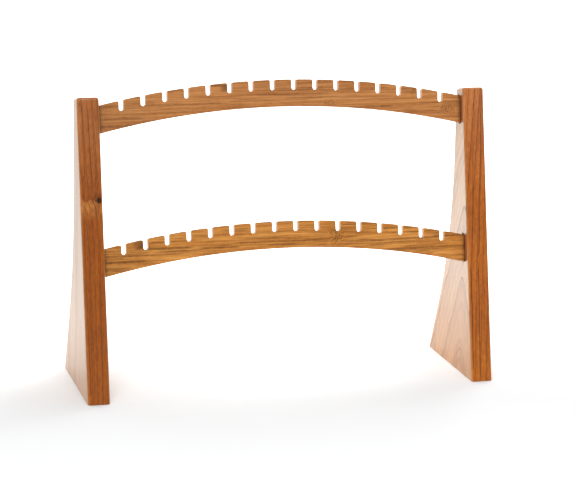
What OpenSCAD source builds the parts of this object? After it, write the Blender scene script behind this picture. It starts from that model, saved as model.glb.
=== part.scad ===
// Two-tier slotted hanging rack: two solid wood uprights that lean back,
// joined by two thin arched rails with a comb of slots along the top edge.
// Every rail end is a stub tenon glued into a blind, round-ended mortise.
// Millimetres. +X along the rails, +Y to the back, +Z up.
// The origin is on the floor, at the centre of the footprint.

/* [Uprights] */
// Thickness of each upright board
upright_t = 19.7; // [18:0.1:21]
// Clear width between the two uprights
inner_w = 331.4; // [325:0.1:345]
// Length of the straight front edge, foot to top
front_len = 266.1; // [263:0.1:275]
// Backward lean of the front edge, in degrees from vertical
lean = 11.1; // [10.5:0.1:12]
// Distance from the foot's front edge to the upright stretch of the back edge
back_y = 70.2; // [67:0.1:72]
// Height at which the back edge starts to sweep outwards
bend_z = 195; // [185:1:205]
// Radius of the sweep in the back edge
sweep_r = 360; // [320:1:380]
// Angle of the straight foot behind the sweep, in degrees from vertical
foot_angle = 24; // [22:0.1:26]

/* [Rails] */
// Thickness of the rails, front to back
rail_t = 6; // [5:0.1:6.5]
// Width of the arched band, from its lower edge to its tooth tips
rail_h = 24; // [22:0.1:25]
// Radius of the band's lower edge
arch_r = 721.6; // [650:0.1:900]
// How far the rails' front faces sit behind the uprights' front edges
rail_inset = 9; // [7:0.1:9.3]
// Crown of the upper rail's lower edge, measured up the front edge from the foot
upper_crown = 253.6; // [250:0.1:255]
// Crown of the lower rail's lower edge, measured the same way
lower_crown = 128.4; // [110:0.1:140]
// How far the upper rail's arch and slots sit to the right of the middle
upper_shift = 1; // [-1.5:0.1:1.5]
// How far the lower rail's arch and slots sit to the right of the middle
lower_shift = -1.3; // [-1.5:0.1:1.5]

/* [Slots] */
// Number of slots in each rail
slots = 16; // [8:2:16]
// Distance from slot to slot
slot_pitch = 19.45; // [19:0.05:19.8]
// Width of each slot
slot_w = 4.2; // [4.1:0.1:6]
// Depth of each slot below the tooth tips, to its round floor
slot_depth = 9.3; // [7:0.1:11]

/* [Joints] */
// Depth of the blind mortises in the uprights' inner faces
mortise_depth = 9.5; // [8:0.1:11]
// Length of the rails' stub tenons
tenon_len = 9; // [7:0.1:9.4]
// Mortise left open above the rail's end
gap_above = 1.5; // [0.5:0.1:1.8]
// Mortise left open below the rail's end
gap_below = 0.8; // [0.3:0.1:1.5]
// How much shorter the tenon is than the rail's end, at the top and at the bottom
shoulder = 0.5; // [0.2:0.1:1.5]

/* [Hidden] */
$fn = 96;
half_w = inner_w / 2;

// back edge: sweep centre, end of the sweep, heel on the floor
sweep_y = back_y + sweep_r;
sweep_end_y = sweep_y - sweep_r * cos(foot_angle);
sweep_end_z = bend_z - sweep_r * sin(foot_angle);
base_depth = sweep_end_y + sweep_end_z * tan(foot_angle);

// front edge's depth at a height, and the top, which is cut square to it
function front_y(z) = z * tan(lean);
top_y = front_len * sin(lean);
top_z = front_len * cos(lean);
back_top_z = top_z - (back_y - top_y) * tan(lean);

// the band's two edges at a distance from the middle, up the front edge
function low_edge(crown, x) = crown - arch_r + sqrt(arch_r * arch_r - x * x);
function tip_edge(crown, x) = crown - arch_r + sqrt((arch_r + rail_h) * (arch_r + rail_h) - x * x);

CHERRY_L = [0.70, 0.43, 0.24];
CHERRY_R = [0.72, 0.45, 0.26];
BAMBOO_U = [0.76, 0.53, 0.32];
BAMBOO_L = [0.79, 0.55, 0.31];

// side outline of an upright: x is depth, y is height
module side_outline() {
    union() {
        polygon([[front_y(bend_z), bend_z], [back_y, bend_z],
                 [back_y, back_top_z], [top_y, top_z]]);
        difference() {
            polygon([[front_y(sweep_end_z), sweep_end_z],
                     [sweep_end_y + 30, sweep_end_z],
                     [sweep_end_y + 30, bend_z],
                     [front_y(bend_z), bend_z]]);
            translate([sweep_y, bend_z]) circle(r = sweep_r, $fn = 360);
        }
        polygon([[0, 0], [base_depth, 0], [sweep_end_y, sweep_end_z],
                 [front_y(sweep_end_z), sweep_end_z]]);
    }
}

// lays a child drawn in the leaning frame (x along, y behind the front edges,
// z up the front edge) into place
module leaning() {
    rotate([-lean, 0, 0]) children();
}

// a flat bar with half-round ends: x thick from 0 to len, in the leaning frame
module round_ended_bar(len, z0, z1) {
    r = rail_t / 2;
    translate([0, rail_inset + r, 0])
        rotate([90, 0, 90])
            linear_extrude(height = len)
                union() {
                    translate([-r, z0 + r]) square([rail_t, z1 - z0 - rail_t]);
                    translate([0, z0 + r]) circle(r = r);
                    translate([0, z1 - r]) circle(r = r);
                }
}

module mortise(crown) {
    leaning()
        round_ended_bar(mortise_depth + 1,
                        low_edge(crown, half_w) - gap_below,
                        tip_edge(crown, half_w) + gap_above);
}

// right-hand upright, with its inner face at +half_w and mortises cut into it
module upright_blank() {
    difference() {
        translate([half_w, 0, 0])
            rotate([90, 0, 90])
                linear_extrude(height = upright_t) side_outline();
        translate([half_w - 1, 0, 0]) {
            mortise(upper_crown);
            mortise(lower_crown);
        }
    }
}

module right_upright() {
    color(CHERRY_R) translate([0, -base_depth / 2, 0]) upright_blank();
}

module left_upright() {
    color(CHERRY_L) translate([0, -base_depth / 2, 0]) mirror([1, 0, 0]) upright_blank();
}

module slot_cut(x, tip) {
    floor_z = tip - slot_depth;
    translate([x, floor_z + slot_w / 2]) circle(r = slot_w / 2);
    translate([x - slot_w / 2, floor_z + slot_w / 2]) square([slot_w, slot_depth + 10]);
}

// front view of a rail between the uprights: an arched band with slots
module band(crown, shift) {
    difference() {
        intersection() {
            translate([shift, crown - arch_r]) circle(r = arch_r + rail_h, $fn = 720);
            translate([-half_w, crown - arch_r / 2]) square([inner_w, arch_r]);
        }
        translate([shift, crown - arch_r]) circle(r = arch_r, $fn = 720);
        for (i = [0 : slots - 1]) {
            x = (i - (slots - 1) / 2) * slot_pitch;
            slot_cut(x + shift, tip_edge(crown, x));
        }
    }
}

module rail(crown, shift) {
    z0 = low_edge(crown, half_w) + shoulder;
    z1 = tip_edge(crown, half_w) - shoulder;
    translate([0, -base_depth / 2, 0])
        leaning()
            union() {
                translate([0, rail_inset + rail_t, 0])
                    rotate([90, 0, 0]) linear_extrude(height = rail_t) band(crown, shift);
                translate([half_w, 0, 0]) round_ended_bar(tenon_len, z0, z1);
                mirror([1, 0, 0]) translate([half_w, 0, 0]) round_ended_bar(tenon_len, z0, z1);
            }
}

module upper_rail() { color(BAMBOO_U) rail(upper_crown, upper_shift); }
module lower_rail() { color(BAMBOO_L) rail(lower_crown, lower_shift); }

left_upright();
right_upright();
upper_rail();
lower_rail();
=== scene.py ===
import math

import bmesh
import bpy
import numpy as np
from mathutils import Matrix, Vector


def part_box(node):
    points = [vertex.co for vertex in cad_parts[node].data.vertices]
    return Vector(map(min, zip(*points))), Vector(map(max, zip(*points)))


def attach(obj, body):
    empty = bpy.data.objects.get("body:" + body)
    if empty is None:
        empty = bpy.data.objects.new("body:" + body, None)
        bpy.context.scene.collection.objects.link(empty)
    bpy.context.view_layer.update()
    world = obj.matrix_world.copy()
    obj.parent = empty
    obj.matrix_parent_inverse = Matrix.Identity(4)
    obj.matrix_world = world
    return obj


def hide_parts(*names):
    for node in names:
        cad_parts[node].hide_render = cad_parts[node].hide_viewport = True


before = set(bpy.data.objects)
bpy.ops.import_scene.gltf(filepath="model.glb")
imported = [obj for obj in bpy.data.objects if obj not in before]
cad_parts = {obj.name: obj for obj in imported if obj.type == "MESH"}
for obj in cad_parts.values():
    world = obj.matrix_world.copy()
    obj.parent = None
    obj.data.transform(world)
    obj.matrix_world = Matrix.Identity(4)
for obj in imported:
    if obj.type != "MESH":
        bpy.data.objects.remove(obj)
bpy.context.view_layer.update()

# ---------------------------------------------------------------- sizes, in metres, from the CAD frame
LU_LO, LU_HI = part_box("left_upright")
RU_LO, RU_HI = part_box("right_upright")
UR_LO, UR_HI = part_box("upper_rail")
LR_LO, LR_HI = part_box("lower_rail")

T = RU_HI.x - RU_LO.x                  # upright thickness
HALF_W = RU_LO.x                       # inner face of the right upright
Y0 = RU_LO.y                           # front edge of the foot
Y1 = RU_HI.y                           # heel
TOP_Z = RU_HI.z                        # front corner of the upright's top

# the same design numbers as the CAD, in metres
LEAN = math.radians(11.1)
BACK_Y = 0.0702
BEND_Z = 0.195
SWEEP_R = 0.360
FOOT = math.radians(24.0)
RAIL_T = 0.006
RAIL_H = 0.024
ARCH_R = 0.7216
INSET = 0.009
CROWN = {"upper": 0.2536, "lower": 0.1284}
SHIFT = {"upper": 0.0010, "lower": -0.0013}
SLOTS = 16
PITCH = 0.01945
SLOT_W = 0.0042
SLOT_D = 0.0093
MORTISE_D = 0.0095
TENON_L = 0.009
GAP_UP, GAP_DN, SHOULDER = 0.0015, 0.0008, 0.0005

TL = math.tan(LEAN)
SIN, COS = math.sin(LEAN), math.cos(LEAN)
SWEEP_Y = BACK_Y + SWEEP_R
SWEEP_END_Y = SWEEP_Y - SWEEP_R * math.cos(FOOT)
SWEEP_END_Z = BEND_Z - SWEEP_R * math.sin(FOOT)
BASE_D = SWEEP_END_Y + SWEEP_END_Z * math.tan(FOOT)
TOP_Y = TOP_Z * TL
BACK_TOP_Z = TOP_Z - (BACK_Y - TOP_Y) * TL

scene = bpy.context.scene
coll = scene.collection


# ---------------------------------------------------------------- camera
def make_camera():
    r = Vector((0.96561332, -0.25945333, 0.01657958))
    u = Vector((0.04360193, 0.22448298, 0.97350206))
    f = Vector((0.25630018, 0.93930366, -0.22807642))
    cam = bpy.data.cameras.new("camera")
    cam.sensor_fit = "HORIZONTAL"
    cam.sensor_width = 36.0
    cam.lens = 2231.0 * 36.0 / 575.0
    cam.clip_start = 0.05
    cam.clip_end = 50.0
    ob = bpy.data.objects.new("camera", cam)
    m = Matrix.Identity(4)
    for i in range(3):
        m[i][0] = r[i]
        m[i][1] = u[i]
        m[i][2] = -f[i]
    place = Vector((-0.50669, -1.82541 + Y0, 0.57344)) - r * 0.00060 + u * 0.00032
    for i in range(3):
        m[i][3] = place[i]
    ob.matrix_world = m
    coll.objects.link(ob)
    scene.camera = ob
    return ob


make_camera()


# ---------------------------------------------------------------- outlines and rounded prisms
def fillet_outline(verts, step=math.radians(12)):
    """verts: (x, y, radius) in order round the outline, counter-clockwise. Returns points and outward normals.
    A vertex with a radius becomes an arc of true tangent points; one without is a point on a smooth run."""
    n = len(verts)
    pts, nrm = [], []
    for i in range(n):
        px, py, _ = verts[i - 1]
        x, y, r = verts[i]
        qx, qy, _ = verts[(i + 1) % n]
        a = np.array((x - px, y - py), float)
        b = np.array((qx - x, qy - y), float)
        a /= np.linalg.norm(a)
        b /= np.linalg.norm(b)
        na = np.array((a[1], -a[0]))
        nb = np.array((b[1], -b[0]))
        cross = a[0] * b[1] - a[1] * b[0]
        dot = float(np.clip(a @ b, -1, 1))
        turn = math.atan2(cross, dot)
        if r <= 0 or abs(turn) < 1e-4:
            m = na + nb
            m /= np.linalg.norm(m)
            pts.append((x, y))
            nrm.append(tuple(m))
            continue
        back = r * math.tan(abs(turn) / 2)
        start = np.array((x, y)) - a * back
        side = 1.0 if turn > 0 else -1.0
        centre = start - na * r * side
        k = max(2, int(math.ceil(abs(turn) / step)))
        a0 = math.atan2(na[1] * side, na[0] * side)
        for j in range(k + 1):
            t = a0 + turn * j / k
            d = np.array((math.cos(t), math.sin(t)))
            p = centre + d * r
            pts.append(tuple(p))
            nrm.append(tuple(d * side))
    return np.array(pts), np.array(nrm)


def rounded_prism(name, pts, nrm, half, r, seg=6, r_back=None):
    """A closed prism of the outline from -half to +half along its third axis, with every long edge rounded over by r.
    Returns a bmesh whose coordinates are (outline x, outline y, third axis)."""
    bm = bmesh.new()
    n = len(pts)
    rings = []
    rb = r if r_back is None else r_back

    def ring(off, h):
        return [bm.verts.new((pts[i][0] - nrm[i][0] * off, pts[i][1] - nrm[i][1] * off, h)) for i in range(n)]

    for j in range(seg + 1):
        t = math.pi / 2 * (1 - j / seg)
        rings.append(ring(rb * (1 - math.cos(t)), -(half - rb) - rb * math.sin(t)))
    for j in range(seg + 1):
        t = math.pi / 2 * j / seg
        rings.append(ring(r * (1 - math.cos(t)), (half - r) + r * math.sin(t)))
    for a, b in zip(rings, rings[1:]):
        for i in range(n):
            k = (i + 1) % n
            bm.faces.new((a[i], a[k], b[k], b[i]))
    bm.faces.new(list(reversed(rings[0])))
    bm.faces.new(rings[-1])
    bmesh.ops.remove_doubles(bm, verts=bm.verts, dist=1e-7)
    bmesh.ops.recalc_face_normals(bm, faces=bm.faces)
    return bm


def cut_flat(bm, co, no, ease=0.0, seg=3):
    """Cuts everything on no's side of the plane away, closes the cut, and eases its edge."""
    geom = list(bm.verts) + list(bm.edges) + list(bm.faces)
    out = bmesh.ops.bisect_plane(bm, geom=geom, dist=1e-7, plane_co=co, plane_no=no, clear_outer=True)
    edges = [e for e in out["geom_cut"] if isinstance(e, bmesh.types.BMEdge)]
    filled = bmesh.ops.edgeloop_fill(bm, edges=edges)
    if ease > 0:
        rim = set()
        for face in filled["faces"]:
            rim.update(face.edges)
        bmesh.ops.bevel(bm, geom=list(rim), offset=ease, segments=seg, profile=0.5, affect="EDGES",
                        clamp_overlap=True, offset_type="OFFSET")
    bmesh.ops.recalc_face_normals(bm, faces=bm.faces)


def to_object(bm, name, matrix=None, smooth=32):
    me = bpy.data.meshes.new(name)
    if matrix is not None:
        bm.transform(matrix)
    bmesh.ops.recalc_face_normals(bm, faces=bm.faces)
    bm.to_mesh(me)
    bm.free()
    ob = bpy.data.objects.new(name, me)
    coll.objects.link(ob)
    return ob


def boolean(ob, cutter, how):
    """Applies one exact boolean and throws the other object away."""
    mod = ob.modifiers.new("bool", "BOOLEAN")
    mod.operation = how
    mod.solver = "EXACT"
    mod.object = cutter
    bpy.context.view_layer.update()
    dep = bpy.context.evaluated_depsgraph_get()
    me = bpy.data.meshes.new_from_object(ob.evaluated_get(dep))
    old = ob.data
    ob.modifiers.clear()
    ob.data = me
    bpy.data.meshes.remove(old)
    cm = cutter.data
    bpy.data.objects.remove(cutter)
    bpy.data.meshes.remove(cm)


def finish_shading(ob, angle=32):
    me = ob.data
    bm = bmesh.new()
    bm.from_mesh(me)
    bmesh.ops.remove_doubles(bm, verts=bm.verts, dist=2e-7)
    bmesh.ops.dissolve_degenerate(bm, edges=bm.edges, dist=1e-7)
    bmesh.ops.recalc_face_normals(bm, faces=bm.faces)
    bm.to_mesh(me)
    bm.free()
    me.shade_smooth()
    me.set_sharp_from_angle(angle=math.radians(angle))
    mod = ob.modifiers.new("normals", "WEIGHTED_NORMAL")
    mod.keep_sharp = True
    mod.weight = 100
    mod.mode = "FACE_AREA"
    me.name = ob.name


def leaning(p):
    """(x, depth behind the front edges, height up the front edge) to the row frame."""
    x, n, s = p
    return Vector((x, Y0 + n * COS + s * SIN, s * COS - n * SIN))


LEAN_M = Matrix(((1, 0, 0, 0), (0, COS, SIN, Y0), (0, -SIN, COS, 0), (0, 0, 0, 1)))


def low_edge(crown, x):
    return crown - ARCH_R + math.sqrt(ARCH_R ** 2 - x * x)


def tip_edge(crown, x):
    return crown - ARCH_R + math.sqrt((ARCH_R + RAIL_H) ** 2 - x * x)


def round_bar(name, x0, x1, z0, z1, r, ease=0.0):
    """A bar with half-round ends from x0 to x1, in the leaning frame, centred on the rails' thickness."""
    mid = INSET + RAIL_T / 2
    pts, nrm = fillet_outline(
        [(-r, z0, r * 0.9999), (r, z0, r * 0.9999), (r, z1, r * 0.9999), (-r, z1, r * 0.9999)], math.radians(7.5)
    )
    bm = bmesh.new()
    a = [bm.verts.new((x0, mid + p[0], p[1])) for p in pts]
    b = [bm.verts.new((x1, mid + p[0], p[1])) for p in pts]
    n = len(pts)
    for i in range(n):
        k = (i + 1) % n
        bm.faces.new((a[i], a[k], b[k], b[i]))
    bm.faces.new(list(reversed(a)))
    bm.faces.new(b)
    bmesh.ops.remove_doubles(bm, verts=bm.verts, dist=1e-7)
    return to_object(bm, name, LEAN_M)


# ---------------------------------------------------------------- uprights
EDGE_R = 0.0026        # round-over along the uprights' long edges
CORNER_R = 0.0029      # round-over of the front and back corners of their tops


def upright(name, sign):
    drop = 0.012
    verts = [(-drop * TL, -drop, 0.0), (BASE_D + drop * math.tan(FOOT), -drop, 0.0)]
    # the straight foot, the sweep and the upright stretch of the back edge
    verts.append((SWEEP_END_Y, SWEEP_END_Z, 0.0))
    steps = 44
    for i in range(1, steps):
        a = FOOT * (1 - i / steps)
        verts.append((SWEEP_Y - SWEEP_R * math.cos(a), BEND_Z - SWEEP_R * math.sin(a), 0.0))
    verts.append((BACK_Y, BEND_Z, 0.0))
    verts.append((BACK_Y, BACK_TOP_Z, CORNER_R))
    verts.append((TOP_Y, TOP_Z, CORNER_R))
    pts, nrm = fillet_outline(verts, math.radians(11))
    # the two extra points below the floor keep their lines' own normals
    n_front = np.array((-math.cos(LEAN), math.sin(LEAN)))
    n_foot = np.array((math.cos(FOOT), math.sin(FOOT)))
    nrm[0] = n_front
    nrm[1] = n_foot
    bm = rounded_prism(name, pts, nrm, T / 2, EDGE_R, seg=7)
    # (outline x, outline y, third axis) to (y, z, x)
    bm.transform(Matrix(((0, 0, 1, sign * (HALF_W + T / 2)), (1, 0, 0, Y0), (0, 1, 0, 0), (0, 0, 0, 1))))
    cut_flat(bm, Vector((0, 0, 0)), Vector((0, 0, -1)), ease=0.0007, seg=3)
    ob = to_object(bm, name)
    for tier in ("upper", "lower"):
        z0 = low_edge(CROWN[tier], HALF_W) - GAP_DN
        z1 = tip_edge(CROWN[tier], HALF_W) + GAP_UP
        x0, x1 = HALF_W - 0.001, HALF_W + MORTISE_D
        if sign < 0:
            x0, x1 = -x1, -x0
        cutter = round_bar("cut", x0, x1, z0, z1, RAIL_T / 2)
        boolean(ob, cutter, "DIFFERENCE")
    finish_shading(ob)
    return ob


# ---------------------------------------------------------------- rails
TOOTH_R = 0.0016       # rounded corners of the teeth, seen from the front
RAIL_EDGE_R = 0.0005   # eased long edges of the rails


def rail(name, tier):
    crown = CROWN[tier]
    shift = SHIFT[tier]
    over = 0.004
    end = HALF_W + over
    verts = []
    # lower edge, left to right
    n = 110
    for i in range(n + 1):
        x = -end + 2 * end * i / n
        verts.append((x, low_edge(crown, x), 0.0))
    # upper edge, right to left, tooth by tooth
    centres = [(i - (SLOTS - 1) / 2) * PITCH for i in range(SLOTS)]
    h = SLOT_W / 2
    right = end
    for c in reversed(centres):
        left = c + h
        k = 9
        first = right == end
        for j in range(k + 1):
            x = right + (left - right) * j / k
            radius = TOOTH_R if (j == k or (j == 0 and not first)) else 0.0
            if 0 < j < k and (abs(x - left) < TOOTH_R * 1.6 or (not first and abs(x - right) < TOOTH_R * 1.6)):
                continue
            verts.append((x, tip_edge(crown, x), radius))
        floor = tip_edge(crown, c) - SLOT_D
        verts.append((c + h, floor, h * 0.9998))
        verts.append((c - h, floor, h * 0.9998))
        right = c - h
    k = 9
    for j in range(k + 1):
        x = right + (-end - right) * j / k
        if 0 < j < k and abs(x - right) < TOOTH_R * 1.6:
            continue
        verts.append((x, tip_edge(crown, x), TOOTH_R if j == 0 else 0.0))
    verts = [(x + shift, z, r) for x, z, r in verts]
    pts, nrm = fillet_outline(verts, math.radians(11))
    bm = rounded_prism(name, pts, nrm, RAIL_T / 2, RAIL_EDGE_R, seg=4)
    # (outline x, outline y, third axis) to (x, s, n) in the leaning frame
    bm.transform(Matrix(((1, 0, 0, 0), (0, 0, 1, INSET + RAIL_T / 2), (0, 1, 0, 0), (0, 0, 0, 1))))
    for sx in (1, -1):
        cut_flat(bm, Vector((sx * HALF_W, 0, 0)), Vector((sx, 0, 0)))
    ob = to_object(bm, name, LEAN_M)
    z0 = low_edge(crown, HALF_W) + SHOULDER
    z1 = tip_edge(crown, HALF_W) - SHOULDER
    for sx in (1, -1):
        a, b = sx * (HALF_W - 0.002), sx * (HALF_W + TENON_L)
        tenon = round_bar("tenon", min(a, b), max(a, b), z0, z1, RAIL_T / 2 - 2e-5)
        boolean(ob, tenon, "UNION")
    finish_shading(ob)
    return ob


# ---------------------------------------------------------------- node helper
class Nodes:
    def __init__(self, name):
        self.mat = bpy.data.materials.new(name)
        self.mat.use_nodes = True
        self.nt = self.mat.node_tree
        self.nt.nodes.clear()

    def new(self, kind, **kw):
        node = self.nt.nodes.new(kind)
        for k, v in kw.items():
            setattr(node, k, v)
        return node

    def put(self, sock, value):
        if isinstance(value, bpy.types.NodeSocket):
            self.nt.links.new(value, sock)
        else:
            sock.default_value = value

    def math(self, op, a, b=0.0, c=0.0, clamp=False):
        node = self.new("ShaderNodeMath", operation=op, use_clamp=clamp)
        self.put(node.inputs[0], a)
        self.put(node.inputs[1], b)
        self.put(node.inputs[2], c)
        return node.outputs[0]

    def add(self, a, b):
        return self.math("ADD", a, b)

    def sub(self, a, b):
        return self.math("SUBTRACT", a, b)

    def mul(self, a, b):
        return self.math("MULTIPLY", a, b)

    def vec(self, op, a, b=(0, 0, 0), scale=None):
        node = self.new("ShaderNodeVectorMath", operation=op)
        self.put(node.inputs[0], a)
        self.put(node.inputs[1], b)
        if scale is not None:
            self.put(node.inputs["Scale"], scale)
        return node.outputs["Value"] if op in ("DOT_PRODUCT", "LENGTH", "DISTANCE") else node.outputs[0]

    def combine(self, x, y, z):
        node = self.new("ShaderNodeCombineXYZ")
        self.put(node.inputs[0], x)
        self.put(node.inputs[1], y)
        self.put(node.inputs[2], z)
        return node.outputs[0]

    def noise(self, v, scale, detail=2.0, rough=0.5, distortion=0.0, dims="3D", w=None):
        node = self.new("ShaderNodeTexNoise", noise_dimensions=dims)
        if dims != "1D":
            self.put(node.inputs["Vector"], v)
        if w is not None:
            self.put(node.inputs["W"], w)
        self.put(node.inputs["Scale"], scale)
        self.put(node.inputs["Detail"], detail)
        self.put(node.inputs["Roughness"], rough)
        self.put(node.inputs["Distortion"], distortion)
        return node.outputs["Fac"]

    def white(self, w):
        node = self.new("ShaderNodeTexWhiteNoise", noise_dimensions="1D")
        self.put(node.inputs["W"], w)
        return node.outputs["Value"]

    def remap(self, v, a, b, c=0.0, d=1.0, smooth=False, clamp=True):
        node = self.new("ShaderNodeMapRange", clamp=clamp)
        node.interpolation_type = "SMOOTHSTEP" if smooth else "LINEAR"
        self.put(node.inputs["Value"], v)
        self.put(node.inputs["From Min"], a)
        self.put(node.inputs["From Max"], b)
        self.put(node.inputs["To Min"], c)
        self.put(node.inputs["To Max"], d)
        return node.outputs["Result"]

    def mix(self, fac, a, b, how="MIX"):
        node = self.new("ShaderNodeMix", data_type="RGBA", blend_type=how)
        node.clamp_factor = True
        self.put(node.inputs[0], fac)
        self.put(node.inputs[6], a)
        self.put(node.inputs[7], b)
        return node.outputs[2]

    def ramp(self, fac, stops):
        node = self.new("ShaderNodeValToRGB")
        el = node.color_ramp.elements
        while len(el) < len(stops):
            el.new(0.5)
        for e, (p, c) in zip(el, stops):
            e.position = p
            e.color = c
        self.put(node.inputs[0], fac)
        return node.outputs[0]


def rgb(r, g, b):
    """An sRGB colour, 0 to 255, as linear RGBA."""
    out = []
    for v in (r, g, b):
        v /= 255.0
        out.append(v / 12.92 if v <= 0.04045 else ((v + 0.055) / 1.055) ** 2.4)
    return (*out, 1.0)


U_AX = (0.0, SIN, COS)          # up the leaning front edge
N_AX = (0.0, COS, -SIN)         # into the board from the front edge


def coords(n):
    """Position in millimetres, with the front edge of the foot at y = 0: x, y, z, depth behind the front plane, height up it."""
    tc = n.new("ShaderNodeTexCoord")
    p = n.vec("SUBTRACT", tc.outputs["Object"], (0.0, Y0, 0.0))
    p = n.vec("SCALE", p, scale=1000.0)
    sep = n.new("ShaderNodeSeparateXYZ")
    n.put(sep.inputs[0], p)
    return p, sep.outputs[0], sep.outputs[1], sep.outputs[2], n.vec("DOT_PRODUCT", p, N_AX), n.vec("DOT_PRODUCT", p, U_AX)


def principled(n, colour, rough, bump=None, coat=0.35, coat_rough=0.22, spec=0.5):
    bsdf = n.new("ShaderNodeBsdfPrincipled")
    n.put(bsdf.inputs["Base Color"], colour)
    n.put(bsdf.inputs["Roughness"], rough)
    bsdf.inputs["IOR"].default_value = 1.5
    bsdf.inputs["Specular IOR Level"].default_value = spec
    bsdf.inputs["Coat Weight"].default_value = coat
    bsdf.inputs["Coat Roughness"].default_value = coat_rough
    bsdf.inputs["Coat IOR"].default_value = 1.5
    if bump is not None:
        n.put(bsdf.inputs["Normal"], bump)
    out = n.new("ShaderNodeOutputMaterial")
    n.put(out.inputs["Surface"], bsdf.outputs[0])
    return bsdf


def soft_box(n, v, lo, hi, edge):
    """1 between lo and hi, falling to 0 over edge outside."""
    up = n.remap(v, lo - edge, lo, 0.0, 1.0, smooth=True)
    down = n.remap(v, hi, hi + edge, 1.0, 0.0, smooth=True)
    return n.mul(up, down)


def blob(n, a, a0, ra, b, b0, rb):
    """A soft ellipse round (a0, b0)."""
    da = n.math("DIVIDE", n.sub(a, a0), ra)
    db = n.math("DIVIDE", n.sub(b, b0), rb)
    d = n.math("SQRT", n.add(n.mul(da, da), n.mul(db, db)))
    return d


def back_distance(n, y, z):
    """Distance inside the back edge of an upright, in mm."""
    vert = n.sub(BACK_Y * 1000, y)
    ay = n.sub(SWEEP_Y * 1000, y)
    az = n.sub(BEND_Z * 1000, z)
    arc = n.sub(n.math("SQRT", n.add(n.mul(ay, ay), n.mul(az, az))), SWEEP_R * 1000)
    line = n.mul(n.sub(n.add(SWEEP_END_Y * 1000, n.mul(n.sub(SWEEP_END_Z * 1000, z), math.tan(FOOT))), y), math.cos(FOOT))
    hi = n.math("GREATER_THAN", z, BEND_Z * 1000)
    lo = n.math("LESS_THAN", z, SWEEP_END_Z * 1000)
    mid = n.sub(1.0, n.add(hi, lo))
    return n.add(n.add(n.mul(vert, hi), n.mul(line, lo)), n.mul(arc, mid))


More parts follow.
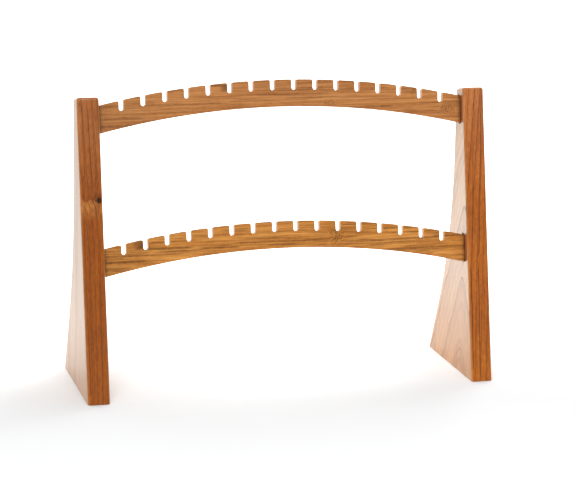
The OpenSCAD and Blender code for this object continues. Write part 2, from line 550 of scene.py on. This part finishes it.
def cherry(name, sign, seed, pith, tones, marks):
    """Flat-sawn cherry. Growth rings round a pith that leans a little through the board: the wide faces show cathedral
    arches, the narrow front edge straight fine lines, and the top and underside end grain."""
    n = Nodes(name)
    p, x, y, z, dn, s = coords(n)
    b = n.sub(n.mul(x, float(sign)), HALF_W * 1000)            # depth into the board from its inner face
    ps = n.combine(n.mul(x, 0.030), n.mul(y, 0.030), n.mul(z, 0.011))
    wander = n.sub(n.noise(n.vec("ADD", ps, (seed * 3.1, seed * 1.7, seed * 0.9)), 1.0, 2.0, 0.55), 0.5)
    wander2 = n.sub(n.noise(n.vec("ADD", ps, (seed + 17.0, 4.0, 9.0)), 1.6, 2.0, 0.55), 0.5)

    # growth rings: pointed arches on the wide faces, nearly straight lines on the narrow ones
    dy = n.add(n.sub(y, pith["y"]), n.mul(wander, 10.0))
    rr = n.add(n.math("SQRT", n.add(n.mul(dy, dy), pith["nose"] ** 2)), n.mul(z, pith["rise"]))
    rr = n.add(rr, n.mul(b, pith["across"]))
    rr = n.add(n.add(rr, n.mul(wander2, 8.0)), pith["start"])
    for kx, ks, rx, rs, amp in marks["knots"]:
        d = blob(n, b, kx, rx * 5.0, s, ks, rs * 5.0)
        front = n.remap(dn, 4.0, 14.0, 1.0, 0.0, smooth=True)
        rr = n.add(rr, n.mul(n.mul(n.remap(d, 0.0, 1.0, 1.0, 0.0, smooth=True), front), amp * 6.0))
    for ss, s_low, s_high, down, up in marks["seams"]:
        edge_s = n.add(ss, n.mul(n.math("SINE", n.mul(b, 0.75)), 1.1))
        face = n.remap(dn, 2.0, 12.0, 1.0, 0.0, smooth=True)
        below = n.mul(n.math("LESS_THAN", s, edge_s), n.remap(s, s_low, ss, 0.0, 1.0, smooth=True))
        above = n.mul(n.math("GREATER_THAN", s, edge_s), n.remap(s, ss, s_high, 1.0, 0.0, smooth=True))
        rr = n.add(rr, n.mul(face, n.add(n.mul(below, down), n.mul(above, up))))
    t = n.math("DIVIDE", rr, pith["ring"])
    f = n.math("FRACT", t)
    rnd = n.white(n.add(n.math("FLOOR", t), seed * 7.0))
    wide = n.remap(n.math("MINIMUM", b, n.sub(T * 1000, b)), 0.0, 1.8, 1.0, 0.0, smooth=True)     # on or near a wide face
    fall = n.remap(f, 0.935, n.remap(wide, 0.0, 1.0, 0.985, 0.955), 1.0, 0.0, smooth=True)
    thin = n.mul(n.remap(f, n.remap(wide, 0.0, 1.0, 0.74, 0.885), 0.93, 0.0, 1.0, smooth=True), fall)
    haze = n.mul(n.remap(f, 0.25, 0.93, 0.0, 1.0, smooth=True), fall)
    late = n.mul(n.add(n.mul(thin, 0.75), n.mul(haze, 0.25)), n.remap(rnd, 0.0, 1.0, 0.60, 1.0))
    t2 = n.math("DIVIDE", n.add(rr, n.mul(wander, 3.0)), pith["ring"] * 0.27)
    f2 = n.math("FRACT", t2)
    sub_line = n.mul(n.remap(f2, 0.35, 0.88, 0.0, 1.0, smooth=True), n.remap(f2, 0.92, 1.0, 1.0, 0.0, smooth=True))
    sub_line = n.mul(sub_line, n.remap(n.white(n.math("FLOOR", t2)), 0.0, 1.0, 0.1, 1.0))

    # fibres, pores, gum flecks, broad tone, figure
    fib = n.noise(n.combine(n.mul(x, 0.62), n.mul(y, 0.62), n.mul(z, 0.010)), 1.0, 3.0, 0.72)
    fib2 = n.noise(n.combine(n.mul(x, 1.0), n.mul(y, 1.0), n.mul(z, 0.055)), 1.0, 3.0, 0.7)
    pore = n.remap(n.noise(n.combine(n.mul(x, 4.2), n.mul(y, 4.2), n.mul(z, 0.42)), 1.0, 1.0, 0.5), 0.66, 0.76, 0.0, 1.0)
    gum = n.remap(n.noise(n.vec("ADD", n.combine(n.mul(x, 0.75), n.mul(y, 0.75), n.mul(z, 0.10)), (5.0, seed, 2.0)), 1.0, 1.0, 0.4),
                  0.72, 0.80, 0.0, 1.0)
    broad = n.noise(n.vec("ADD", n.combine(n.mul(x, 0.055), n.mul(y, 0.055), n.mul(z, 0.013)), (seed, 2.0, 1.0)), 1.0, 2.0, 0.5)
    figure = n.noise(n.vec("ADD", n.combine(n.mul(x, 0.09), n.mul(y, 0.09), n.mul(z, 0.30)), (seed, 8.0, 3.0)), 1.0, 2.0, 0.55)

    col = n.mix(n.remap(z, 15.0, 90.0, 0.0, 1.0, smooth=True), tones["low"], tones["mid"])
    col = n.mix(n.remap(z, 150.0, 262.0, 0.0, 1.0, smooth=True), col, tones["high"])
    col = n.mix(n.remap(broad, 0.35, 0.65, 0.0, 0.45, smooth=True), col, tones["red"])
    # the wide faces get a paler colour and paler grain lines: painted reflection of the bright studio, weaker near the
    # back edge
    painted_reflection_colour = n.mix(n.remap(z, 10.0, 120.0, 0.0, 1.0, smooth=True), tones["reflection_low"], tones["reflection_high"])
    painted_reflection_colour = n.mix(n.remap(broad, 0.38, 0.66, 0.0, 0.35, smooth=True), painted_reflection_colour, tones["reflection_red"])
    painted_reflection_mask = n.remap(n.math("MINIMUM", b, n.sub(T * 1000, b)), 0.2, 2.4, 1.0, 0.0, smooth=True)
    painted_reflection_mask = n.mul(painted_reflection_mask, n.mul(n.remap(dn, 0.5, 2.2, 0.0, 1.0, smooth=True), n.remap(back_distance(n, y, z), -0.2, 1.6, 0.30, 1.0, smooth=True)))
    col = n.mix(painted_reflection_mask, col, painted_reflection_colour)
    col = n.mix(n.mul(late, 0.74), col, n.mix(painted_reflection_mask, tones["line"], tones["reflection_line"]))
    col = n.mix(n.mul(sub_line, n.remap(painted_reflection_mask, 0.0, 1.0, 0.32, 0.24)), col, n.mix(painted_reflection_mask, tones["line"], tones["reflection_line"]))
    # painted shade and a painted reflection of the rail on the inner face in front of each rail's end, darkest (gum
    # colour) nearest the rail
    for tier in ("upper", "lower"):
        z0 = low_edge(CROWN[tier], HALF_W) * 1000
        z1 = tip_edge(CROWN[tier], HALF_W) * 1000
        joint_shade_reflection = n.mul(soft_box(n, s, z0 + 0.8, z1 - 0.8, 1.6), n.mul(soft_box(n, dn, 4.6, 9.0, 3.6), n.remap(b, 0.2, 1.4, 1.0, 0.0)))
        col = n.mix(n.mul(joint_shade_reflection, 0.94), col, n.mix(n.remap(dn, 6.2, 8.8, 0.0, 1.0, smooth=True), tones["joint_shade_reflection"], tones["gum"]))
    # golden wood below a seam
    for ss, s_low, s_high, down, up in marks["seams"]:
        lit = n.mul(n.math("LESS_THAN", s, n.add(ss, n.mul(n.math("SINE", n.mul(b, 0.75)), 1.1))),
                    n.remap(s, ss - 19.0, ss - 8.0, 0.0, 1.0, smooth=True))
        lit = n.mul(lit, n.mul(n.remap(dn, 2.0, 8.0, 1.0, 0.0, smooth=True), n.remap(fib, 0.35, 0.6, 0.35, 1.0)))
        col = n.mix(n.mul(lit, 0.44), col, tones["gold"])
    col = n.mix(n.mul(gum, 0.55), col, tones["gum"])
    col = n.mix(n.mul(pore, 0.30), col, tones["gum"])
    for kx, ks, rx, rs, amp in marks["knots"]:
        d = blob(n, b, kx, rx, s, ks, rs)
        front = n.remap(dn, 3.0, 8.0, 1.0, 0.0, smooth=True)
        halo = n.mul(n.remap(d, 1.0, 2.6, 1.0, 0.0, smooth=True), front)
        col = n.mix(n.mul(halo, 0.35), col, tones["line"])
        core = n.mul(n.remap(d, 0.55, 1.05, 1.0, 0.0, smooth=True), front)
        col = n.mix(n.mul(core, 0.96), col, rgb(30, 4, 0))
    for kx, ks, rx, rs, amp in marks["flecks"]:
        d = blob(n, b, kx, rx, s, ks, rs)
        front = n.remap(dn, 1.5, 4.0, 1.0, 0.0, smooth=True)
        col = n.mix(n.mul(n.mul(n.remap(d, 0.4, 1.1, 1.0, 0.0, smooth=True), front), amp), col, tones["gum"])
    for b_top, b_low, s_top, s_low, w, amp in marks["lines"]:
        run = n.remap(s, s_low, s_top, b_low, b_top)
        off = n.math("ABSOLUTE", n.sub(n.add(b, n.mul(wander, 1.6)), run))
        face = n.remap(dn, 1.5, 6.0, 1.0, 0.0, smooth=True)
        ends = soft_box(n, s, s_low + 6.0, s_top - 6.0, 6.0)
        m = n.mul(n.mul(n.remap(off, w * 0.3, w, 1.0, 0.0, smooth=True), face), ends)
        col = n.mix(n.mul(m, amp), col, tones["line"])
    for b_top, b_low, s_top, s_low, w, amp in marks["bends"]:
        run = n.remap(s, s_low, s_top, b_low, b_top)
        off = n.math("ABSOLUTE", n.sub(b, run))
        face = n.remap(dn, 1.5, 5.0, 1.0, 0.0, smooth=True)
        m = n.mul(n.mul(n.remap(off, w * 0.3, w, 1.0, 0.0, smooth=True), face), soft_box(n, s, s_low, s_top, 0.8))
        col = n.mix(n.mul(m, amp), col, tones["line"])
    gain = n.add(1.0, n.mul(n.sub(fib, 0.5), n.remap(painted_reflection_mask, 0.0, 1.0, 1.00, 0.85)))
    gain = n.add(gain, n.mul(n.sub(fib2, 0.5), n.remap(painted_reflection_mask, 0.0, 1.0, 0.85, 0.75)))
    for ss, s_low, s_high, down, up in marks["seams"]:
        edge_s = n.add(ss, n.mul(n.math("SINE", n.mul(b, 0.75)), 1.1))
        face = n.mul(n.remap(dn, 2.0, 10.0, 1.0, 0.0, smooth=True), n.remap(b, 15.0, 19.0, 1.0, 0.0, smooth=True))
        glow = n.mul(n.math("LESS_THAN", s, edge_s), n.remap(s, ss - 16.0, ss - 3.0, 0.0, 0.12, smooth=True))
        dusk = n.mul(n.math("GREATER_THAN", s, edge_s), n.remap(s, ss, ss + 9.0, -0.07, 0.0, smooth=True))
        gain = n.add(gain, n.mul(face, n.add(glow, dusk)))
    fig_amp = 0.10
    gain = n.add(gain, n.mul(n.sub(figure, 0.5), fig_amp))
    for lo, hi, amp in marks["figured"]:
        band = soft_box(n, s, lo, hi, 5.0)
        spark = n.noise(n.combine(n.mul(x, 1.1), n.mul(y, 0.7), n.mul(z, 0.75)), 1.0, 3.0, 0.65)
        gain = n.add(gain, n.mul(n.mul(n.sub(spark, 0.47), band), amp))
    # end grain on the top is darker
    tc = n.new("ShaderNodeTexCoord")
    up = n.vec("DOT_PRODUCT", tc.outputs["Normal"], U_AX)
    gain = n.mul(gain, n.remap(up, 0.80, 0.97, 1.0, 0.82, smooth=True))
    # lighter long edges: rubbed wear with a painted highlight along the round-overs, taking the painted reflection
    # colour on the wide faces
    side = n.math("MINIMUM", b, n.sub(T * 1000, b))
    inner = n.math("MINIMUM", dn, back_distance(n, y, z))
    edge = n.remap(n.math("MAXIMUM", side, inner), 0.2, 2.3, 1.0, 0.0, smooth=True)
    edge_wear_highlight = n.mul(edge, n.remap(n.noise(p, 0.11, 3.0, 0.6), 0.35, 0.65, 0.35, 1.0))
    col = n.vec("SCALE", col, scale=gain)
    col = n.mix(n.mul(edge_wear_highlight, n.remap(painted_reflection_mask, 0.0, 1.0, 0.55, 0.30)), col, n.mix(painted_reflection_mask, tones["edge_wear_highlight"], tones["reflection_high"]))

    rough = n.add(0.36, n.add(n.mul(n.sub(fib, 0.5), 0.10), n.mul(late, 0.05)))
    rough = n.sub(rough, n.mul(edge_wear_highlight, 0.06))
    height = n.add(n.mul(fib, 0.35), n.add(n.mul(fib2, 0.25), n.mul(n.add(pore, n.mul(late, 0.3)), -0.5)))
    bump = n.new("ShaderNodeBump")
    bump.inputs["Strength"].default_value = 0.22
    bump.inputs["Distance"].default_value = 0.00006
    n.put(bump.inputs["Height"], height)
    bsdf = principled(n, col, rough, bump.outputs[0], coat=0.35, coat_rough=0.24, spec=0.5)
    bsdf.inputs["Specular Tint"].default_value = (1.0, 0.66, 0.42, 1.0)
    bsdf.inputs["Sheen Weight"].default_value = 0.01
    bsdf.inputs["Sheen Roughness"].default_value = 0.4
    bsdf.inputs["Sheen Tint"].default_value = (1.0, 0.92, 0.85, 1.0)
    return n.mat


def bamboo(name, tier, seed, tones, lam, streaks, knuckles, dark_noise, sawn=False):
    """Laminated bamboo with straight lengthwise fibres that the arch cuts across."""
    n = Nodes(name)
    p, x, y, z, dn, s = coords(n)
    crown = CROWN[tier] * 1000
    xa = n.sub(x, SHIFT[tier] * 1000)
    ra = n.sub(s, crown - ARCH_R * 1000)
    rad = n.sub(n.math("SQRT", n.add(n.mul(xa, xa), n.mul(ra, ra))), ARCH_R * 1000)       # height inside the band
    s2 = s
    for kx, ks, rx, rs, amp, tone in knuckles:
        d = blob(n, x, kx, rx * 1.7, s, ks, rs * 1.7)
        pull = n.mul(n.remap(d, 0.0, 1.0, 1.0, 0.0, smooth=True), amp)
        swirl = n.math("SINE", n.add(n.mul(n.sub(x, kx), 1.15), n.mul(n.sub(s, ks), 0.8)))
        s2 = n.add(s2, n.mul(pull, swirl))
    base, step = lam
    ts = n.math("DIVIDE", n.sub(s2, base), step)
    idx = n.math("FLOOR", ts)
    frac = n.math("FRACT", ts)
    tone_r = n.white(n.add(idx, seed * 5.0))
    shift = n.mul(n.white(n.add(idx, seed * 9.0 + 3.0)), 90.0)
    joint = n.math("MINIMUM", frac, n.sub(1.0, frac))
    joint = n.remap(joint, 0.0, 0.045, 1.0, 0.0, smooth=True)

    xs = n.add(x, shift)
    f1 = n.noise(n.combine(n.mul(xs, 0.012), n.mul(s2, 0.46), n.add(n.mul(dn, 0.40), seed)), 1.0, 4.0, 0.66)
    f2 = n.noise(n.combine(n.mul(xs, 0.024), n.mul(s2, 0.60), n.add(n.mul(dn, 0.8), seed)), 1.0, 3.0, 0.72)
    f3 = n.noise(n.combine(n.mul(xs, 0.075), n.mul(s2, 1.20), n.add(n.mul(dn, 1.6), seed)), 1.0, 3.0, 0.7)
    f4 = n.noise(n.combine(n.mul(xs, 0.016), n.mul(s2, 0.52), n.add(n.mul(dn, 0.5), seed + 11.0)), 1.0, 3.0, 0.62)
    broad = n.noise(n.combine(n.mul(x, 0.012), n.mul(s, 0.05), seed * 2.0), 1.0, 2.0, 0.5)

    col = n.mix(n.remap(f1, 0.34, 0.66, 0.0, 1.0, smooth=True), tones["mid"], tones["light"])
    col = n.mix(n.remap(tone_r, 0.0, 1.0, 0.0, 0.35), col, tones["warm"])
    col = n.mix(n.remap(broad, 0.4, 0.68, 0.0, 0.55, smooth=True), col, tones["warm"])
    dark = n.remap(f4, dark_noise[0], dark_noise[1], 0.0, 1.0, smooth=True)
    col = n.mix(n.mul(dark, dark_noise[2]), col, tones["dark"])
    col = n.mix(n.mul(n.remap(f2, 0.51, 0.64, 0.0, 1.0, smooth=True), tones["streak"]), col, tones["dark"])
    col = n.mix(n.mul(n.remap(f2, 0.34, 0.48, 1.0, 0.0, smooth=True), tones["gleam"]), col, tones["light"])
    col = n.mix(n.mul(joint, 0.34), col, tones["dark"])
    for x0, x1, sc, w, amp in streaks:
        m = n.mul(soft_box(n, x, x0, x1, 7.0), n.remap(n.math("ABSOLUTE", n.sub(n.add(s, n.mul(n.sub(f1, 0.5), 1.6)), sc)), w * 0.35, w, 1.0, 0.0, smooth=True))
        col = n.mix(n.mul(m, amp), col, tones["dark"])
    for kx, ks, rx, rs, amp, tone in knuckles:
        d = blob(n, x, kx, rx, s, ks, rs)
        grain = n.noise(n.combine(n.mul(x, 0.55), n.mul(s2, 1.2), seed), 1.0, 3.0, 0.65)
        m = n.mul(n.remap(d, 0.45, 1.25, 1.0, 0.0, smooth=True), n.remap(grain, 0.46, 0.58, 0.0, 1.0, smooth=True))
        col = n.mix(n.mul(m, abs(tone)), col, tones["dark"] if tone > 0 else tones["light"])
        m = n.mul(n.remap(d, 0.45, 1.25, 1.0, 0.0, smooth=True), n.remap(grain, 0.30, 0.43, 1.0, 0.0, smooth=True))
        col = n.mix(n.mul(m, abs(tone)), col, tones["light"])
    gain = n.add(1.0, n.mul(n.sub(f3, 0.5), 0.95))
    gain = n.add(gain, n.mul(n.sub(n.noise(n.combine(n.mul(x, 0.8), n.mul(s, 0.8), n.mul(dn, 0.8)), 1.0, 2.0, 0.5), 0.5), 0.10))
    col = n.vec("SCALE", col, scale=gain)
    col = n.vec("SCALE", col, scale=n.remap(x, -165.0, -85.0, 0.83, 1.0, smooth=True))
    col = n.vec("SCALE", col, scale=n.remap(x, 50.0, 105.0, 1.0, 1.09, smooth=True))
    # painted shade darkening the rail ends where they meet the uprights
    end = n.remap(n.math("ABSOLUTE", x), HALF_W * 1000 - 4.6, HALF_W * 1000 - 0.2, 0.0, 1.0)
    col = n.mix(n.mul(n.mul(end, end), 0.90), col, rgb(34, 14, 6))
    # eased edges: darker along the tooth tips; painted light from below, in orange, with some rubbed wear along the
    # lower edge; lighter, rubbed front and back edges
    thick = n.math("MINIMUM", n.sub(dn, INSET * 1000), n.sub((INSET + RAIL_T) * 1000, dn))
    tip = n.remap(n.sub(RAIL_H * 1000, rad), 0.2, 1.5, 1.0, 0.0, smooth=True)
    low = n.remap(rad, 0.1, 1.0, 1.0, 0.0, smooth=True)
    wob = n.remap(n.noise(n.combine(n.mul(x, 0.30), n.mul(s, 0.30), seed), 1.0, 2.0, 0.6), 0.35, 0.65, 0.3, 1.0)
    col = n.mix(n.mul(n.mul(tip, wob), 0.34), col, tones["dark"])
    col = n.mix(n.mul(low, 0.45), col, tones["underside_light"])
    edge_wear_highlight = n.mul(n.mul(n.remap(thick, 0.0, 0.6, 1.0, 0.0, smooth=True), wob), 0.25)
    col = n.mix(edge_wear_highlight, col, tones["light"])

    if sawn:
        # end grain: cut fibre bundles as fine dots on a pale ground
        dots = n.noise(n.combine(n.mul(x, 0.4), n.mul(s, 3.4), n.mul(dn, 3.4)), 1.0, 2.0, 0.6)
        col = n.mix(0.80, col, tones["cut"])
        col = n.mix(n.remap(dots, 0.46, 0.66, 0.0, 0.40), col, tones["mid"])
    rough = n.add(0.46 if sawn else 0.42, n.mul(n.sub(f2, 0.5), 0.16))
    height = n.add(n.mul(f2, 0.5), n.add(n.mul(f3, 0.35), n.mul(joint, -0.5)))
    bump = n.new("ShaderNodeBump")
    bump.inputs["Strength"].default_value = 0.25
    bump.inputs["Distance"].default_value = 0.00007
    n.put(bump.inputs["Height"], height)
    bsdf = principled(n, col, rough, bump.outputs[0], coat=0.3 if sawn else 0.0, coat_rough=0.35, spec=0.5 if sawn else 0.45)
    bsdf.inputs["Specular Tint"].default_value = (1.0, 0.74, 0.5, 1.0)
    bsdf.inputs["Sheen Weight"].default_value = 0.03
    bsdf.inputs["Sheen Roughness"].default_value = 0.4
    bsdf.inputs["Sheen Tint"].default_value = (1.0, 0.93, 0.85, 1.0)
    return n.mat


left = upright("left_upright_solid", -1)
right = upright("right_upright_solid", 1)
upper = rail("upper_rail_solid", "upper")
lower = rail("lower_rail_solid", "lower")

# in the cherry tone tables, the colours for the wide faces are painted reflection, the edge colour is wear with a
# painted highlight, and the colour in front of the rail ends is painted shade and reflection
MAT_L = cherry(
    "cherry_left", -1, 3.0, {"y": 36.0, "nose": 7.0, "rise": 0.09, "across": -6.6, "ring": 31.0, "start": 124.0},
    {"low": rgb(176, 93, 14), "mid": rgb(163, 84, 13), "high": rgb(182, 112, 60), "red": rgb(138, 68, 22), "line": rgb(90, 38, 12),
     "gold": rgb(196, 134, 70), "joint_shade_reflection": rgb(120, 58, 18), "gum": rgb(58, 24, 8), "edge_wear_highlight": rgb(212, 124, 44), "reflection_low": rgb(208, 162, 118),
     "reflection_high": rgb(186, 146, 108), "reflection_red": rgb(178, 132, 98), "reflection_line": rgb(104, 54, 30)},
    {"knots": [(3.1, 177.0, 2.9, 3.3, 5.5)], "flecks": [(3.4, 248.0, 0.5, 3.0, 0.55), (17.5, 259.0, 4.0, 9.0, 0.16)],
     "figured": [(150.0, 186.0, 0.24)], "seams": [(177.0, 132.0, 206.0, 20.0, -12.0)],
     "bends": [(5.9, 7.0, 197.0, 181.0, 0.55, 0.62), (7.0, 9.5, 181.0, 177.4, 0.8, 0.62), (9.5, 6.5, 177.4, 170.8, 0.75, 0.66),
               (6.5, 5.2, 170.8, 156.0, 0.55, 0.60), (12.6, 10.1, 174.5, 166.0, 0.6, 0.40), (10.1, 8.9, 166.0, 154.0, 0.5, 0.40),
               (16.2, 13.9, 173.0, 165.0, 0.6, 0.45), (13.9, 13.3, 165.0, 153.0, 0.5, 0.40)],
     "lines": [(15.6, 15.0, 262.0, 184.0, 0.55, 0.45), (10.4, 9.2, 258.0, 184.0, 0.5, 0.50), (7.2, 5.0, 250.0, 186.0, 0.45, 0.35),
               (12.8, 13.4, 160.0, 8.0, 0.55, 0.45), (17.4, 17.0, 170.0, 6.0, 0.6, 0.50), (5.6, 6.4, 140.0, 4.0, 0.45, 0.35)]},
)
MAT_R = cherry(
    "cherry_right", 1, 8.0, {"y": 34.0, "nose": 7.0, "rise": 0.50, "across": -6.0, "ring": 32.5, "start": 11.7},
    {"low": rgb(190, 106, 28), "mid": rgb(187, 103, 31), "high": rgb(196, 120, 66), "red": rgb(158, 78, 26), "line": rgb(104, 44, 14),
     "gold": rgb(204, 140, 76), "joint_shade_reflection": rgb(170, 84, 30), "gum": rgb(50, 18, 6), "edge_wear_highlight": rgb(222, 134, 54), "reflection_low": rgb(212, 156, 104),
     "reflection_high": rgb(189, 153, 115), "reflection_red": rgb(182, 134, 94), "reflection_line": rgb(104, 50, 28)},
    {"knots": [], "flecks": [(8.0, 98.0, 0.5, 2.0, 0.35)], "figured": [(74.0, 103.0, 0.46)], "seams": [], "bends": [],
     "lines": [(2.4, 2.0, 106.0, 8.0, 0.75, 0.85), (9.8, 8.4, 106.0, 2.0, 0.70, 0.75), (17.4, 10.2, 262.0, 112.0, 0.70, 0.65),
               (8.6, 3.4, 226.0, 108.0, 0.6, 0.50), (14.6, 13.6, 96.0, 20.0, 0.5, 0.40)]},
)
# in the bamboo tone tables, the lower-edge colour is painted light from below
UPPER_LOOK = (
    "upper", 2.0,
    {"light": rgb(206, 142, 85), "mid": rgb(168, 104, 52), "warm": rgb(160, 97, 46), "dark": rgb(96, 48, 18), "underside_light": rgb(190, 106, 30), "streak": 0.36, "gleam": 0.55, "cut": rgb(222, 180, 142)},
    (233.0, 10.4),
    [(-165, -118, 240.5, 1.4, 0.6), (-160, -130, 246.5, 1.2, 0.5), (-64, -50, 273.6, 1.1, 0.9), (-51.4, -50.2, 271.0, 3.4, 0.9),
     (-120, -60, 258.0, 1.0, 0.45), (60, 92, 251.0, 0.9, 0.5), (93, 98, 251.6, 1.0, 0.7), (-20, 40, 264.5, 0.9, 0.45), (-45, 20, 259.5, 0.8, 0.45)],
    [(43.0, 256.0, 8.0, 3.2, 0.9, 0.60), (122.5, 264.5, 6.0, 4.0, 1.1, 0.85), (153.0, 247.5, 7.5, 5.5, 1.4, 0.85)],
    (0.54, 0.68, 0.60),
)
LOWER_LOOK = (
    "lower", 6.0,
    {"light": rgb(222, 154, 78), "mid": rgb(180, 109, 40), "warm": rgb(172, 102, 34), "dark": rgb(92, 44, 10), "underside_light": rgb(198, 110, 24), "streak": 0.52, "gleam": 0.80, "cut": rgb(224, 180, 132)},
    (122.3, 10.4),
    [(-166, -132, 122.3, 1.5, 0.85), (-165, -146, 117.0, 1.1, 0.60), (-124, -90, 132.7, 1.5, 0.80), (-74, -48, 131.5, 1.2, 0.75),
     (-16, 5, 132.0, 1.1, 0.7), (104, 166, 123.4, 1.1, 0.60), (140, 166, 133.2, 1.1, 0.8), (-134.0, -132.6, 136.5, 5.5, 0.90),
     (-130.8, -129.9, 136.0, 5.0, 0.7), (-44, 34, 134.6, 0.9, 0.55), (-160, -100, 127.6, 1.0, 0.55), (56, 104, 129.5, 0.9, 0.50)],
    [(45.5, 138.5, 6.5, 9.5, 1.6, 0.95), (38.2, 130.7, 2.6, 1.2, 0.4, -0.8), (-127.0, 141.0, 5.0, 4.0, 1.0, 0.3)],
    (0.53, 0.67, 0.70),
)

MAT_U = bamboo("bamboo_upper", *UPPER_LOOK)
MAT_US = bamboo("bamboo_upper_sawn", *UPPER_LOOK, sawn=True)
MAT_D = bamboo("bamboo_lower", *LOWER_LOOK)
MAT_DS = bamboo("bamboo_lower_sawn", *LOWER_LOOK, sawn=True)

for ob, mat, sawn, node, slot in (
    (left, MAT_L, None, "left_upright", "cherry"),
    (right, MAT_R, None, "right_upright", "cherry"),
    (upper, MAT_U, MAT_US, "upper_rail", "bamboo_upper"),
    (lower, MAT_D, MAT_DS, "lower_rail", "bamboo_lower"),
):
    ob.data.materials.clear()
    ob.data.materials.append(mat)
    if sawn is not None:
        ob.data.materials.append(sawn)
        for face in ob.data.polygons:
            if abs(face.normal.x) > 0.55 and abs(face.center.x) < HALF_W + TENON_L + 0.001:
                face.material_index = 1
    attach(ob, "root")
    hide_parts(node)


# ---------------------------------------------------------------- floor, light
def make_floor():
    bm = bmesh.new()
    rad = 2.4
    rings = [[bm.verts.new((rad * k / 8 * math.cos(2 * math.pi * i / 96), rad * k / 8 * math.sin(2 * math.pi * i / 96), 0.0))
              for i in range(96)] for k in range(1, 9)]
    bm.faces.new(rings[0])
    for a, b in zip(rings, rings[1:]):
        for i in range(96):
            k = (i + 1) % 96
            bm.faces.new((a[i], a[k], b[k], b[i]))
    ob = to_object(bm, "floor")
    ob.location = (0, 0, -0.00005)
    n = Nodes("floor_white")
    tc = n.new("ShaderNodeTexCoord")
    sep = n.new("ShaderNodeSeparateXYZ")
    n.put(sep.inputs[0], tc.outputs["Object"])
    dist = n.vec("LENGTH", tc.outputs["Object"])
    bsdf = n.new("ShaderNodeBsdfDiffuse")
    bsdf.inputs["Color"].default_value = (0.79, 0.80, 0.806, 1)
    em = n.new("ShaderNodeEmission")
    em.inputs["Color"].default_value = (1, 1, 1, 1)
    glow = n.add(n.remap(n.add(sep.outputs[1], n.mul(sep.outputs[0], 0.20)), -0.09, 0.16, 0.0, FLOOR_GLOW[0], smooth=True),
                 n.mul(n.remap(sep.outputs[1], 0.02, 0.45, 0.0, FLOOR_GLOW[1], smooth=True),
                       n.remap(sep.outputs[0], -0.30, -0.08, 0.0, 1.0, smooth=True)))
    n.put(em.inputs["Strength"], glow)
    addn = n.new("ShaderNodeAddShader")
    n.put(addn.inputs[0], bsdf.outputs[0])
    n.put(addn.inputs[1], em.outputs[0])
    trans = n.new("ShaderNodeBsdfTransparent")
    mixn = n.new("ShaderNodeMixShader")
    n.put(mixn.inputs[0], n.remap(dist, 1.3, 2.35, 0.0, 1.0, smooth=True))
    n.put(mixn.inputs[1], addn.outputs[0])
    n.put(mixn.inputs[2], trans.outputs[0])
    out = n.new("ShaderNodeOutputMaterial")
    n.put(out.inputs["Surface"], mixn.outputs[0])
    ob.data.materials.append(n.mat)
    return ob


FLOOR_GLOW = (0.57, 1.18)

make_floor()


def area(name, loc, target, size, power, colour=(1, 1, 1)):
    li = bpy.data.lights.new(name, "AREA")
    li.shape = "SQUARE"
    li.size = size
    li.energy = power
    li.color = colour
    ob = bpy.data.objects.new(name, li)
    d = Vector(target) - Vector(loc)
    ob.rotation_euler = d.to_track_quat("-Z", "Y").to_euler()
    ob.location = loc
    coll.objects.link(ob)
    return ob


world = bpy.data.worlds.new("studio")
scene.world = world
world.use_nodes = True
wn = world.node_tree
wn.nodes.clear()
wo = wn.nodes.new("ShaderNodeOutputWorld")
bg = wn.nodes.new("ShaderNodeBackground")
bg.inputs["Color"].default_value = (1, 1, 1, 1)
tc = wn.nodes.new("ShaderNodeTexCoord")
sepw = wn.nodes.new("ShaderNodeSeparateXYZ")
wn.links.new(tc.outputs["Generated"], sepw.inputs[0])


def wmap(sock, a, b, c, d):
    mr = wn.nodes.new("ShaderNodeMapRange")
    mr.interpolation_type = "SMOOTHSTEP"
    mr.inputs["From Min"].default_value = a
    mr.inputs["From Max"].default_value = b
    mr.inputs["To Min"].default_value = c
    mr.inputs["To Max"].default_value = d
    wn.links.new(sock, mr.inputs["Value"])
    return mr.outputs[0]


def wmath(op, a, b):
    m = wn.nodes.new("ShaderNodeMath")
    m.operation = op
    for sock, v in zip(m.inputs, (a, b)):
        if isinstance(v, bpy.types.NodeSocket):
            wn.links.new(v, sock)
        else:
            sock.default_value = v
    return m.outputs[0]


# a soft white studio: bright behind, a softer front, a bright ceiling
back = wmap(sepw.outputs[1], 0.10, 0.90, 0.33, 1.5)
ceiling = wmap(sepw.outputs[2], 0.30, 0.95, 0.0, 0.35)
wn.links.new(wmath("ADD", back, ceiling), bg.inputs["Strength"])
wn.links.new(bg.outputs[0], wo.inputs["Surface"])

area("key", (0.95, 0.75, 1.25), (0.0, 0.0, 0.1), 0.8, 7.0)
area("fill", (-0.45, -1.30, 1.75), (0.0, 0.0, 0.10), 1.3, 25.0)

scene.view_settings.view_transform = "Standard"
scene.view_settings.look = "None"
scene.view_settings.exposure = 0.0
scene.view_settings.gamma = 1.0
